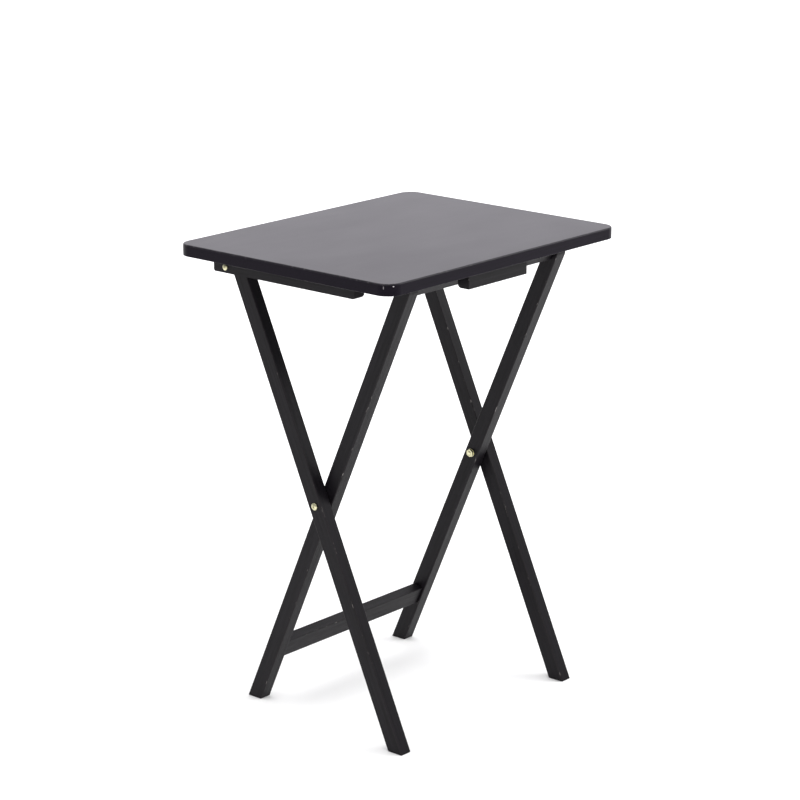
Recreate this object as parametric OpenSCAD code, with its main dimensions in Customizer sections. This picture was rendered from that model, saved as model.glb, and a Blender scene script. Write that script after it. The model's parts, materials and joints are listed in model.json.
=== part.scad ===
// Folding tray table: a level wooden top on two crossed pairs of square legs.
// X runs along the long side, -Y is the front edge with the catch block, Z is up.

/* [Top] */
// Length of the top along X
top_x = 478; // [430:1:560]
// Depth of the top along Y
top_y = 381; // [370:1:430]
// Thickness of the top
top_t = 16; // [12:0.5:22]
// Plan radius of the four corners of the top
corner_r = 22; // [8:1:40]
// Round-over along the upper edge of the top
edge_r = 2; // [1:0.5:5]

/* [Legs] */
// Height of the upper face of the top above the floor
table_h = 660; // [600:1:720]
// Width of a leg in the plane of its cross
leg_w = 22.5; // [18:0.5:24]
// Thickness of a leg along X
leg_t = 19; // [16:0.5:22]
// Distance between the outside faces of the two outer legs
outer_span = 370; // [330:1:380]
// Gap between an outer leg and the inner leg beside it
leg_gap = 2; // [1.6:0.1:4]
// Height of the cross bolts above the floor
cross_z = 318; // [300:1:335]
// Lean of the outer legs from the vertical
outer_lean = 24.1; // [22:0.1:25]
// Lean of the inner legs from the vertical
inner_lean = 23.7; // [22:0.1:24.5]
// Chamfer along the four long edges of a leg
leg_ease = 1.2; // [0.6:0.1:2]

/* [Rails] */
// Thickness of the upper rail and the lower stretcher
rail_t = 15; // [12:0.5:16]
// Height of the upper rail along the leg
rail_h = 20.5; // [18:0.5:26]
// Height of the lower stretcher along the leg
stretcher_h = 28; // [24:0.5:34]
// Height of the middle of the lower stretcher above the floor
stretcher_z = 80; // [60:1:110]

/* [Battens and catch] */
// Thickness of a batten along X
batten_t = 19; // [16:0.5:22]
// Height of a batten below the top
batten_h = 22; // [21:0.5:28]
// Length of a batten along Y
batten_l = 254; // [220:1:300]
// Length of the catch block along X
block_l = 122; // [80:1:160]
// Depth of the catch block along Y
block_d = 19.5; // [15:0.5:22]
// Height of the catch block below the top
block_h = 24; // [20:0.5:28]

/* [Hardware] */
// Shank diameter of the cross bolts
cross_d = 6; // [5:0.5:8]
// Head diameter of the cross bolts
cross_head_d = 10; // [9:0.5:13]
// Shank diameter of the top pivot bolts
pivot_d = 5; // [4:0.5:6]
// Head diameter of the top pivot bolts
pivot_head_d = 8.5; // [8:0.5:10]
// Diameter of the brass washers behind the cross nuts
washer_d = 12; // [12:0.5:16]

/* [Hidden] */
$fn = 64;
hex = 6;
fit = 0.05;
gap = 0.3;
under_z = table_h - top_t;
cross_y = -8.8;
outer_x = outer_span / 2 - leg_t / 2;
inner_x = outer_x - leg_t - leg_gap;
batten_x = outer_span / 2 + leg_gap + batten_t / 2;
pivot_drop = 14;
pivot_z = under_z - pivot_drop;
pivot_s = (pivot_z - cross_z) / cos(outer_lean);
pivot_y = cross_y + pivot_s * sin(outer_lean);
inner_s = (under_z - leg_w / 2 - 0.75 - cross_z) / cos(inner_lean);
rail_n = (leg_w - rail_t) / 2;
rail_r = rail_t / 2;
rail_s = (under_z - gap - rail_r - cross_z - rail_n * sin(inner_lean)) / cos(inner_lean);
rail_l = 2 * inner_x - leg_t;
rail_mid_s = rail_s + rail_r - rail_h / 2;
rail_front_y = cross_y - rail_s * sin(inner_lean) + rail_n * cos(inner_lean) - rail_r;
stretcher_s = (stretcher_z - cross_z) / cos(inner_lean);
block_back_y = rail_front_y - 0.5;
batten_end_y = pivot_y + 22;
end_r = 3;
round_r = 5.5;
bottom_ease = 0.3;
foot_s = -400;
dowel_d = 8;
dowel_leg = 12;
dowel_rail = 20;
dowel_step = 14;
end_play = 0.5;
spacer_t = leg_gap - gap;
spacer_d = 16;
pivot_spacer_d = 12;
washer_t = 1.2;
cross_head_h = 3.2;
cross_nut_w = 10;
cross_nut_h = 3.2;
cross_tip = 1.2;
pivot_head_h = 2.6;
pivot_nut_w = 8;
pivot_nut_h = 3.5;
recess_d = 11;
recess_h = 5.5;
screw_d = 3.5;
screw_head_d = 7.5;
screw_head_h = 2.6;
screw_play = 0.2;
screw_tip = 4;
screw_point_d = 0.6;
screw_sink = 3;
screw_bite = 0.6 * top_t;
batten_screw_l = batten_h - screw_sink + screw_bite;
catch_screw_l = block_h - screw_sink + screw_bite;
block_screw_x = 42;
batten_screws_y = [-80, 15, 108];
thread_cut = 0.2;
head_rim = 0.45;
recess_span = 0.5;
recess_width = 0.13;
recess_floor = 0.4;
black = "#1d1b1f";
black_top = "#26242a";
gold = "#c8a45a";
nylon = "#e6e4dc";
steel = "#8d9096";
beech = "#c39a6b";

// Cylinder lying along X from x0 to x1, radius r
module rod(x0, x1, r, sides = 64) {
    translate([min(x0, x1), 0, 0]) rotate([0, 90, 0]) cylinder(h = abs(x1 - x0), r = r, $fn = sides);
}

// Section of the top: flat underside with a small chamfer, round-over above
module slab_section(half) {
    polygon([[0, 0], [half - bottom_ease, 0], [half, bottom_ease], [half, top_t - edge_r],
        [half - edge_r, top_t - edge_r], [half - edge_r, top_t], [0, top_t]]);
    translate([half - edge_r, top_t - edge_r]) circle(r = edge_r);
}

// Straight run of the top whose long edges carry the edge section
module slab_run(width, length) {
    rotate([90, 0, 0]) linear_extrude(height = length, center = true) {
        slab_section(width / 2);
        mirror([1, 0]) slab_section(width / 2);
    }
}

// Round corner of the top with the same edge section
module slab_corner() {
    rotate_extrude() intersection() {
        slab_section(corner_r);
        square([corner_r + 1, top_t + 1]);
    }
}

// Wood screw standing upward from z = 0: countersunk head, shank, point
module screw(l) {
    cylinder(h = screw_head_h, d1 = screw_head_d, d2 = screw_d);
    cylinder(h = l - screw_tip, d = screw_d);
    translate([0, 0, l - screw_tip]) cylinder(h = screw_tip, d1 = screw_d, d2 = screw_point_d);
}

// Space cut for one screw whose head is sunk into the underside it enters
module screw_hole(l) {
    translate([0, 0, -screw_sink - 1]) cylinder(h = screw_sink + 1, d = screw_head_d + screw_play);
    cylinder(h = screw_head_h, d1 = screw_head_d + screw_play, d2 = screw_d + screw_play);
    cylinder(h = l + end_play, d = screw_d + screw_play);
}

// Places its child at each batten screw
module at_batten_screws() {
    for (side = [-1, 1], y = batten_screws_y)
        translate([side * batten_x, y, under_z - batten_h + screw_sink]) children();
}

// Places its child at each catch block screw
module at_catch_screws() {
    for (side = [-1, 1])
        translate([side * block_screw_x, block_back_y - block_d / 2, under_z - block_h + screw_sink]) children();
}

module tabletop() {
    color(black_top) difference() {
        translate([0, 0, under_z]) {
            slab_run(top_x, top_y - 2 * corner_r);
            rotate([0, 0, 90]) slab_run(top_y, top_x - 2 * corner_r);
            for (sx = [-1, 1], sy = [-1, 1])
                translate([sx * (top_x / 2 - corner_r), sy * (top_y / 2 - corner_r), 0]) slab_corner();
        }
        at_batten_screws() screw_hole(batten_screw_l);
        at_catch_screws() screw_hole(catch_screw_l);
    }
}

// Section of a bar, standing on y = 0, whose lower edge at x = 0 is round
module rounded_section(width, height) {
    translate([0, round_r]) square([width, height - round_r]);
    translate([round_r, 0]) square([width - round_r, height]);
    translate([round_r, round_r]) circle(r = round_r);
}

// Side view of a batten: straight bar with eased lower corners
module batten_profile() {
    translate([-batten_l, end_r]) square([batten_l, batten_h - end_r]);
    translate([end_r - batten_l, 0]) square([batten_l - 2 * end_r, batten_h]);
    for (y = [end_r - batten_l, -end_r]) translate([y, end_r]) circle(r = end_r);
}

module batten(side) {
    inner_face = side * (batten_x - batten_t / 2);
    color(black) difference() {
        intersection() {
            translate([inner_face - batten_t, batten_end_y, under_z - batten_h])
                rotate([90, 0, 90]) linear_extrude(height = 2 * batten_t) batten_profile();
            translate([inner_face, batten_end_y - batten_l / 2, under_z - batten_h])
                rotate([90, 0, 90 - side * 90])
                    linear_extrude(height = batten_l, center = true) rounded_section(batten_t, batten_h);
        }
        translate([0, pivot_y, pivot_z])
            rod(side * (batten_x - batten_t), side * (batten_x + batten_t), pivot_d / 2 + fit);
        at_batten_screws() screw_hole(batten_screw_l);
    }
}

module catch_block() {
    color(black) difference() {
        translate([0, block_back_y, under_z - block_h])
            rotate([90, 0, -90]) linear_extrude(height = block_l, center = true) rounded_section(block_d, block_h);
        at_catch_screws() screw_hole(catch_screw_l);
    }
}

// Eased square bar along Z with a round upper end centred at z = end_s
module leg_bar(end_s) {
    a = leg_t / 2;
    b = leg_w / 2;
    e = leg_ease;
    intersection() {
        translate([0, 0, foot_s]) linear_extrude(height = end_s + leg_w - foot_s)
            polygon([[-a + e, -b], [a - e, -b], [a, -b + e], [a, b - e],
                [a - e, b], [-a + e, b], [-a, b - e], [-a, -b + e]]);
        union() {
            translate([-leg_t, -leg_w, foot_s]) cube([2 * leg_t, 2 * leg_w, end_s - foot_s]);
            translate([0, 0, end_s]) rod(-leg_t, leg_t, leg_w / 2);
        }
    }
}

// Leg leaning about the cross bolt, cut level at the floor
module leaning_leg(x, lean, end_s) {
    intersection() {
        translate([x, cross_y, cross_z]) rotate([lean, 0, 0]) leg_bar(end_s);
        translate([x - leg_t, -top_y, 0]) cube([2 * leg_t, 2 * top_y, table_h]);
    }
}

module outer_leg(side) {
    inner_face = side * (outer_x - leg_t / 2);
    color(black) difference() {
        leaning_leg(side * outer_x, -outer_lean, pivot_s);
        translate([0, cross_y, cross_z])
            rod(side * (outer_x - leg_t), side * (outer_x + leg_t), cross_d / 2 + fit);
        translate([0, pivot_y, pivot_z]) {
            rod(side * (outer_x - leg_t), side * (outer_x + leg_t), pivot_d / 2 + fit);
            rod(inner_face - side, inner_face + side * recess_h, recess_d / 2);
        }
    }
}

// Places its child in the frame of the inner legs, origin on the cross bolt
module at_inner() {
    translate([0, cross_y, cross_z]) rotate([inner_lean, 0, 0]) children();
}

// Dowels of the rail (along X), grown by c on the radius and ends
module rail_dowel(side, c) {
    at_inner() translate([0, rail_n, rail_mid_s])
        rod(side * (rail_l / 2 + dowel_leg + c), side * (rail_l / 2 - dowel_rail - c), dowel_d / 2 + min(c, fit));
}

module stretcher_dowel(side, step, c) {
    at_inner() translate([0, 0, stretcher_s + step * dowel_step / 2])
        rod(side * (rail_l / 2 + dowel_leg + c), side * (rail_l / 2 - dowel_rail - c), dowel_d / 2 + min(c, fit));
}

module inner_leg(side) {
    color(black) difference() {
        leaning_leg(side * inner_x, inner_lean, inner_s);
        translate([0, cross_y, cross_z])
            rod(side * (inner_x - leg_t), side * (inner_x + leg_t), cross_d / 2 + fit);
        rail_dowel(side, end_play);
        for (step = [-1, 1]) stretcher_dowel(side, step, end_play);
    }
}

module upper_rail() {
    color(black) difference() {
        at_inner() rotate([90, 0, 90]) linear_extrude(height = rail_l, center = true) {
            translate([rail_n - rail_r, rail_s + rail_r - rail_h]) square([rail_t, rail_h - rail_r]);
            translate([rail_n, rail_s]) circle(r = rail_r);
        }
        for (side = [-1, 1]) rail_dowel(side, end_play);
    }
}

module lower_stretcher() {
    color(black) difference() {
        at_inner() translate([-rail_l / 2, -rail_t / 2, stretcher_s - stretcher_h / 2])
            cube([rail_l, rail_t, stretcher_h]);
        for (side = [-1, 1], step = [-1, 1]) stretcher_dowel(side, step, end_play);
    }
}

// Domed head standing on z = 0, with a cross recess
module bolt_head(d, h) {
    rim = h * head_rim;
    dome_r = ((d / 2) * (d / 2) + (h - rim) * (h - rim)) / (2 * (h - rim));
    slot = [d * recess_span, d * recess_width, h];
    difference() {
        rotate_extrude() intersection() {
            square([d / 2, h]);
            translate([0, h - dome_r]) circle(r = dome_r);
        }
        for (turn = [0, 90])
            rotate([0, 0, turn]) translate([-slot.x / 2, -slot.y / 2, h * recess_floor]) cube(slot);
    }
}

module cross_bolt(side) {
    face = side * outer_span / 2;
    tip = side * (rail_l / 2 - gap - washer_t - cross_nut_h - cross_tip);
    color(gold) translate([0, cross_y, cross_z]) {
        rod(face, tip, cross_d / 2);
        translate([face, 0, 0]) rotate([0, side * 90, 0]) bolt_head(cross_head_d, cross_head_h);
    }
}

module cross_washer(side) {
    x = side * (rail_l / 2 - gap);
    color(gold) translate([0, cross_y, cross_z]) difference() {
        rod(x, x - side * washer_t, washer_d / 2);
        rod(x + side, x - side * (washer_t + 1), cross_d / 2 + thread_cut);
    }
}

module cross_nut(side) {
    x = side * (rail_l / 2 - gap - washer_t);
    color(gold) translate([0, cross_y, cross_z]) difference() {
        rod(x, x - side * cross_nut_h, cross_nut_w / sqrt(3), hex);
        rod(x + side, x - side * (cross_nut_h + 1), cross_d / 2 + fit);
    }
}

module cross_spacer(side) {
    x = side * (outer_x - leg_t / 2);
    color(nylon) translate([0, cross_y, cross_z]) difference() {
        rod(x, x - side * spacer_t, spacer_d / 2);
        rod(x + side, x - side * (spacer_t + 1), cross_d / 2 + thread_cut);
    }
}

module pivot_bolt(side) {
    face = side * (batten_x + batten_t / 2 + gap);
    tip = side * (outer_x - leg_t / 2 + 1);
    color(gold) translate([0, pivot_y, pivot_z]) {
        rod(face, tip, pivot_d / 2);
        translate([face, 0, 0]) rotate([0, side * 90, 0]) bolt_head(pivot_head_d, pivot_head_h);
    }
}

module pivot_nut(side) {
    x = side * (outer_x - leg_t / 2 + recess_h - gap);
    color(gold) translate([0, pivot_y, pivot_z]) difference() {
        rod(x, x - side * pivot_nut_h, pivot_nut_w / sqrt(3), hex);
        rod(x + side, x - side * (pivot_nut_h + 1), pivot_d / 2 + fit);
    }
}

module pivot_spacer(side) {
    x = side * outer_span / 2;
    color(nylon) translate([0, pivot_y, pivot_z]) difference() {
        rod(x, x + side * spacer_t, pivot_spacer_d / 2);
        rod(x - side, x + side * (spacer_t + 1), pivot_d / 2 + thread_cut);
    }
}

module rail_dowels() {
    color(beech) for (side = [-1, 1]) rail_dowel(side, 0);
}

module stretcher_dowels() {
    color(beech) for (side = [-1, 1], step = [-1, 1]) stretcher_dowel(side, step, 0);
}

module batten_screws() {
    color(steel) at_batten_screws() screw(batten_screw_l);
}

module catch_screws() {
    color(steel) at_catch_screws() screw(catch_screw_l);
}

tabletop();
batten(-1);  // batten_left
batten(1);  // batten_right
catch_block();
outer_leg(-1);  // outer_leg_left
outer_leg(1);  // outer_leg_right
inner_leg(-1);  // inner_leg_left
inner_leg(1);  // inner_leg_right
upper_rail();
lower_stretcher();
cross_bolt(-1);  // cross_bolt_left
cross_bolt(1);  // cross_bolt_right
cross_nut(-1);  // cross_nut_left
cross_nut(1);  // cross_nut_right
cross_washer(-1);  // cross_washer_left
cross_washer(1);  // cross_washer_right
cross_spacer(-1);  // cross_spacer_left
cross_spacer(1);  // cross_spacer_right
pivot_bolt(-1);  // pivot_bolt_left
pivot_bolt(1);  // pivot_bolt_right
pivot_nut(-1);  // pivot_nut_left
pivot_nut(1);  // pivot_nut_right
pivot_spacer(-1);  // pivot_spacer_left
pivot_spacer(1);  // pivot_spacer_right
rail_dowels();
stretcher_dowels();
batten_screws();
catch_screws();
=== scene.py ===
"""Looks of a folding tray table: its pieces, finishes and studio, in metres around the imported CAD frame.

X runs along the long side of the top, -Y is the front edge with the catch block and Z is up.
"""

import json
import logging
import math
from collections.abc import Callable, Sequence
from dataclasses import dataclass, field
from enum import Enum

import bmesh
import bpy
from mathutils import Matrix, Vector


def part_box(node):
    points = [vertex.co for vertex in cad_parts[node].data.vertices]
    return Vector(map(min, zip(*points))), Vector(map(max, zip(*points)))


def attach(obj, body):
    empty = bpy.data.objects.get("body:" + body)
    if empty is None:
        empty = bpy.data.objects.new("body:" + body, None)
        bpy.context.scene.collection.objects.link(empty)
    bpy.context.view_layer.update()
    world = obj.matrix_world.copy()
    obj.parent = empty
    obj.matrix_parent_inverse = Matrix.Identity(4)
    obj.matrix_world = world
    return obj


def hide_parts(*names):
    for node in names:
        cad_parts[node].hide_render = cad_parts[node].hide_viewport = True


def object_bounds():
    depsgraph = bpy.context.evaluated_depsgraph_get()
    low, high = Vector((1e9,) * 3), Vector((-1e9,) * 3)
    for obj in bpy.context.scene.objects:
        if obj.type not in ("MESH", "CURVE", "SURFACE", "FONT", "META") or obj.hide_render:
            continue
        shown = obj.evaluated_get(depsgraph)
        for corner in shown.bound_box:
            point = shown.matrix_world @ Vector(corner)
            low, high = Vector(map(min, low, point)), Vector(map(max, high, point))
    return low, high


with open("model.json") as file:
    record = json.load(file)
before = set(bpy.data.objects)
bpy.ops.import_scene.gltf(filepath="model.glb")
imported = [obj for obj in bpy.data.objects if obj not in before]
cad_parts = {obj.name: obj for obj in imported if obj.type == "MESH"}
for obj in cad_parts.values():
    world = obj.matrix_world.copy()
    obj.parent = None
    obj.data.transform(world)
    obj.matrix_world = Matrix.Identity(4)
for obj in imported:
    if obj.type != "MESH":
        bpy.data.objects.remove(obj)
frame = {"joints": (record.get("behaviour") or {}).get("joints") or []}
CAD_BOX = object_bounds()

MM = 0.001
CORNER_RADIUS = 22 * MM
LEG_WIDTH = 22.5 * MM
QUARTERS = ((1, 1), (-1, 1), (-1, -1), (1, -1))
log = logging.getLogger("tray_table")

Tree = bpy.types.NodeTree
Socket = bpy.types.NodeSocket
Piece = bpy.types.Object
Colour = tuple[float, float, float, float]
Point2 = tuple[float, float]
RingShape = Callable[[float], Point2]
NodeInputs = dict[str | int, object]


# ---------------------------------------------------------------- places taken from the frame


class Side(Enum):
    """The two mirrored halves of the table; the value is the sign of X."""

    LEFT = -1
    RIGHT = 1

    def node(self, stem: str) -> str:
        """Name of this side's copy of a CAD node."""
        return f"{stem}_{self.name.lower()}"


@dataclass(frozen=True)
class Layout:
    """Hinge lines and leans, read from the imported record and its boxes.

    Args:
        cross: middle of the hinge line through both crosses.
        pivot: middle of the hinge line that joins the top to the outer legs.
        outer_turn: turn about X that lays the upright onto an outer leg.
        inner_turn: turn about X that lays the upright onto an inner leg.
    """

    cross: Vector
    pivot: Vector
    outer_turn: float
    inner_turn: float

    @classmethod
    def from_frame(cls, leg_width: float) -> "Layout":
        """Reads the hinge lines and works out the leans.

        Args:
            leg_width: width of a leg in the plane of its cross.

        Returns:
            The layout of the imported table.
        """
        places = {joint["name"]: Vector(joint["pos_m"]) for joint in frame["joints"]}
        cross = places["leg_fold"]
        pivot = places["top_lift"]
        low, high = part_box("inner_leg_left")
        round_end = Vector((0, low.y + leg_width / 2, high.z - leg_width / 2))
        rise = round_end - cross
        span = pivot - cross
        return cls(cross, pivot, -math.atan2(span.y, span.z), math.atan2(-rise.y, rise.z))

    def on_inner(self, across: float, along: float) -> Vector:
        """Point in the plane X = 0, given across and along the inner legs from the cross bolts."""
        return self.cross + Matrix.Rotation(self.inner_turn, 3, "X") @ Vector((0, across, along))


# ---------------------------------------------------------------- node helpers


def linear(hex_colour: str) -> Colour:
    """Turns an sRGB hex colour to linear light.

    Args:
        hex_colour: a hash and six hex digits.

    Returns:
        Red, green and blue in linear light, and an alpha of 1.
    """
    channels = [int(hex_colour[i : i + 2], 16) / 255 for i in (1, 3, 5)]
    red, green, blue = (c / 12.92 if c <= 0.04045 else ((c + 0.055) / 1.055) ** 2.4 for c in channels)
    return red, green, blue, 1.0


def fill(tree: Tree, node: bpy.types.Node, inputs: NodeInputs) -> None:
    """Sets or links a node's inputs.

    Args:
        tree: the node tree.
        node: the node.
        inputs: a value, or another node's output to link, for each input name or number.
    """
    for key, value in inputs.items():
        if isinstance(value, Socket):
            tree.links.new(value, node.inputs[key])
        else:
            node.inputs[key].default_value = value


def add_node(
    tree: Tree, kind: str, inputs: NodeInputs | None = None, **settings: object
) -> bpy.types.Node:
    """Adds a node, sets its properties, then fills or links its inputs.

    Args:
        tree: the node tree it joins.
        kind: the node's type name.
        inputs: a value, or another node's output to link, for each input name or number.
        settings: properties of the node itself.

    Returns:
        The new node.
    """
    node = tree.nodes.new(kind)
    for key, value in settings.items():
        setattr(node, key, value)
    fill(tree, node, inputs or {})
    return node


def per_mm(feature_mm: float) -> float:
    """Texture scale that gives features of about this many millimetres."""
    return 1 / (feature_mm * MM)


# ---------------------------------------------------------------- finishes


class Finish:
    """A real finish. A subclass gives its name, its slot in the record and how it is painted."""

    name: str
    slot: str

    def paint(self, tree: Tree, shader: bpy.types.Node) -> None:
        """Adds the nodes that drive the shader."""
        raise NotImplementedError

    def material(self) -> bpy.types.Material:
        """Makes the material, or finds it if it was made before.

        Returns:
            The material of this finish.
        """
        found = bpy.data.materials.get(self.name)
        if found is not None:
            return found
        made = bpy.data.materials.new(self.name)
        made.use_nodes = True
        tree = made.node_tree
        tree.nodes.clear()
        shader = add_node(tree, "ShaderNodeBsdfPrincipled")
        self.paint(tree, shader)
        add_node(tree, "ShaderNodeOutputMaterial", {"Surface": shader.outputs["BSDF"]})
        return made


def grain_space(tree: Tree, turn: Sequence[float]) -> Socket:
    """Object coordinates turned so that Z runs along the grain.

    Args:
        tree: the material's node tree.
        turn: Euler angles that lay the grain's direction onto Z.

    Returns:
        The turned coordinates.
    """
    coords = add_node(tree, "ShaderNodeTexCoord").outputs["Object"]
    return add_node(tree, "ShaderNodeMapping", {"Vector": coords, "Rotation": tuple(turn)}).outputs[0]


def noise(
    tree: Tree,
    coords: Socket,
    feature_mm: float,
    stretch: float = 1.0,
    detail: float = 2.0,
) -> Socket:
    """Noise whose features are drawn out along Z.

    Args:
        tree: the material's node tree.
        coords: coordinates with Z along the grain.
        feature_mm: width of a feature in millimetres.
        stretch: how many times longer than wide a feature is.
        detail: octaves of finer noise on top.

    Returns:
        The noise, from 0 to 1.
    """
    drawn = add_node(tree, "ShaderNodeMapping", {"Vector": coords, "Scale": (1, 1, 1 / stretch)})
    made = add_node(
        tree,
        "ShaderNodeTexNoise",
        {"Vector": drawn.outputs[0], "Scale": per_mm(feature_mm), "Detail": detail, "Roughness": 0.6},
    )
    return made.outputs["Fac"]


def remap(
    tree: Tree, value: Socket, source: Point2, target: Point2
) -> Socket:
    """Maps a value from one range to another, clamped.

    Args:
        tree: the material's node tree.
        value: the value to map.
        source: the range that it comes from.
        target: the range that it goes to.

    Returns:
        The mapped value.
    """
    limits = dict(zip(("From Min", "From Max", "To Min", "To Max"), (*source, *target)))
    return add_node(tree, "ShaderNodeMapRange", {"Value": value, **limits}).outputs[0]


def blend(
    tree: Tree,
    factor: Socket | float,
    first: object,
    second: object,
) -> Socket:
    """Mixes two colours.

    Args:
        tree: the material's node tree.
        factor: share of the second colour.
        first: colour, or output, at factor 0.
        second: colour, or output, at factor 1.

    Returns:
        The mixed colour.
    """
    made = add_node(tree, "ShaderNodeMix", {0: factor, 6: first, 7: second}, data_type="RGBA")
    return made.outputs[2]


def combine(
    tree: Tree, operation: str, first: object, second: object
) -> Socket:
    """One step of arithmetic on two values, given as numbers or outputs."""
    return add_node(tree, "ShaderNodeMath", {0: first, 1: second}, operation=operation).outputs[0]


def relief(
    tree: Tree, height: Socket, depth_mm: float, strength: float
) -> Socket:
    """Bump from a height of 0 to 1.

    Args:
        tree: the material's node tree.
        height: the height.
        depth_mm: depth of the relief in millimetres.
        strength: how much of it shows.

    Returns:
        The bumped normal.
    """
    inputs = {"Height": height, "Distance": depth_mm * MM, "Strength": strength}
    return add_node(tree, "ShaderNodeBump", inputs).outputs[0]


@dataclass(frozen=True)
class StainedHardwood(Finish):
    """Hardwood stained black and sealed with one thin satin coat, planed and sanded by machine.

    The eye sees near-black wood with faint long streaks of fibre, a soft sheen broken by open pores, and
    arrises rubbed a little paler where hands and floors meet them.
    """

    name: str
    turn: tuple[float, float, float]
    slot: str = "stained_frame"
    dark: str = "#0a080b"
    light: str = "#18151a"
    rubbed: str = "#8c8785"
    ior: float = 1.25
    fibre_mm: float = 0.9
    band_mm: float = 5.0
    pore_mm: float = 0.45
    patch_mm: float = 2.4
    relief_mm: float = 0.06

    def paint(self, tree: Tree, shader: bpy.types.Node) -> None:
        """Streaked stain, pored sheen and rubbed arrises."""
        coords = grain_space(tree, self.turn)
        fibres = noise(tree, coords, self.fibre_mm, stretch=45, detail=4)
        bands = noise(tree, coords, self.band_mm, stretch=30)
        pores = remap(tree, noise(tree, coords, self.pore_mm, stretch=14, detail=1), (0.60, 0.72), (0, 1))
        fine = combine(tree, "MULTIPLY", fibres, 0.6)
        streaks = combine(tree, "ADD", fine, combine(tree, "MULTIPLY", bands, 0.4))
        stain = blend(tree, remap(tree, streaks, (0.36, 0.64), (0, 1)), linear(self.dark), linear(self.light))

        arris = add_node(tree, "ShaderNodeAttribute", attribute_name="arris").outputs["Fac"]
        patches = remap(tree, noise(tree, coords, self.patch_mm, stretch=7, detail=3), (0.63, 0.70), (0, 1))
        rub = combine(tree, "MULTIPLY", arris, patches)
        faint = combine(tree, "MULTIPLY", arris, 0.03)
        worn = combine(tree, "MAXIMUM", combine(tree, "MULTIPLY", rub, 0.85), faint)
        fill(tree, shader, {"Base Color": blend(tree, worn, stain, linear(self.rubbed))})

        sheen = remap(tree, streaks, (0.36, 0.64), (0.50, 0.38))
        rough = combine(tree, "ADD", sheen, combine(tree, "MULTIPLY", pores, 0.12))
        fill(tree, shader, {"Roughness": combine(tree, "ADD", rough, combine(tree, "MULTIPLY", rub, 0.15))})
        shader.inputs["IOR"].default_value = self.ior
        height = combine(tree, "SUBTRACT", fibres, combine(tree, "MULTIPLY", pores, 0.5))
        fill(tree, shader, {"Normal": relief(tree, height, self.relief_mm, 0.7)})


@dataclass(frozen=True)
class Chip:
    """A painted glint: a small pale spot painted into the colour at the front left corner of the top,
    standing in for a highlight.

    Args:
        angle: where it is on the corner's arc, in degrees from +X.
        drop_mm: how far its middle is below the top face.
        half_width_mm: half its width.
        half_height_mm: half its height.
        depth: how strongly the painted highlight shows, from 0 to 1.
    """

    angle: float
    drop_mm: float
    half_width_mm: float
    half_height_mm: float
    depth: float

    def mask(self, tree: Tree) -> Socket:
        """Builds the painted glint's mask around its place on the corner.

        Args:
            tree: the material's node tree.

        Returns:
            The depth inside the painted glint and 0 outside it.
        """
        low, high = (Vector(corner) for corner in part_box("tabletop"))
        radius = CORNER_RADIUS
        turn = math.radians(self.angle)
        place = Vector((low.x, low.y, high.z - self.drop_mm * MM))
        place += Vector((radius + radius * math.cos(turn), radius + radius * math.sin(turn), 0))
        coords = add_node(tree, "ShaderNodeTexCoord").outputs["Object"]
        offset = add_node(tree, "ShaderNodeVectorMath", {0: coords, 1: tuple(place)}, operation="SUBTRACT")
        size = (self.half_width_mm * MM, self.half_width_mm * MM, self.half_height_mm * MM)
        scaled = add_node(tree, "ShaderNodeVectorMath", {0: offset.outputs[0], 1: size}, operation="DIVIDE")
        away = add_node(tree, "ShaderNodeVectorMath", {0: scaled.outputs[0]}, operation="LENGTH")
        return remap(tree, away.outputs["Value"], (0.6, 1.0), (self.depth, 0))


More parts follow.
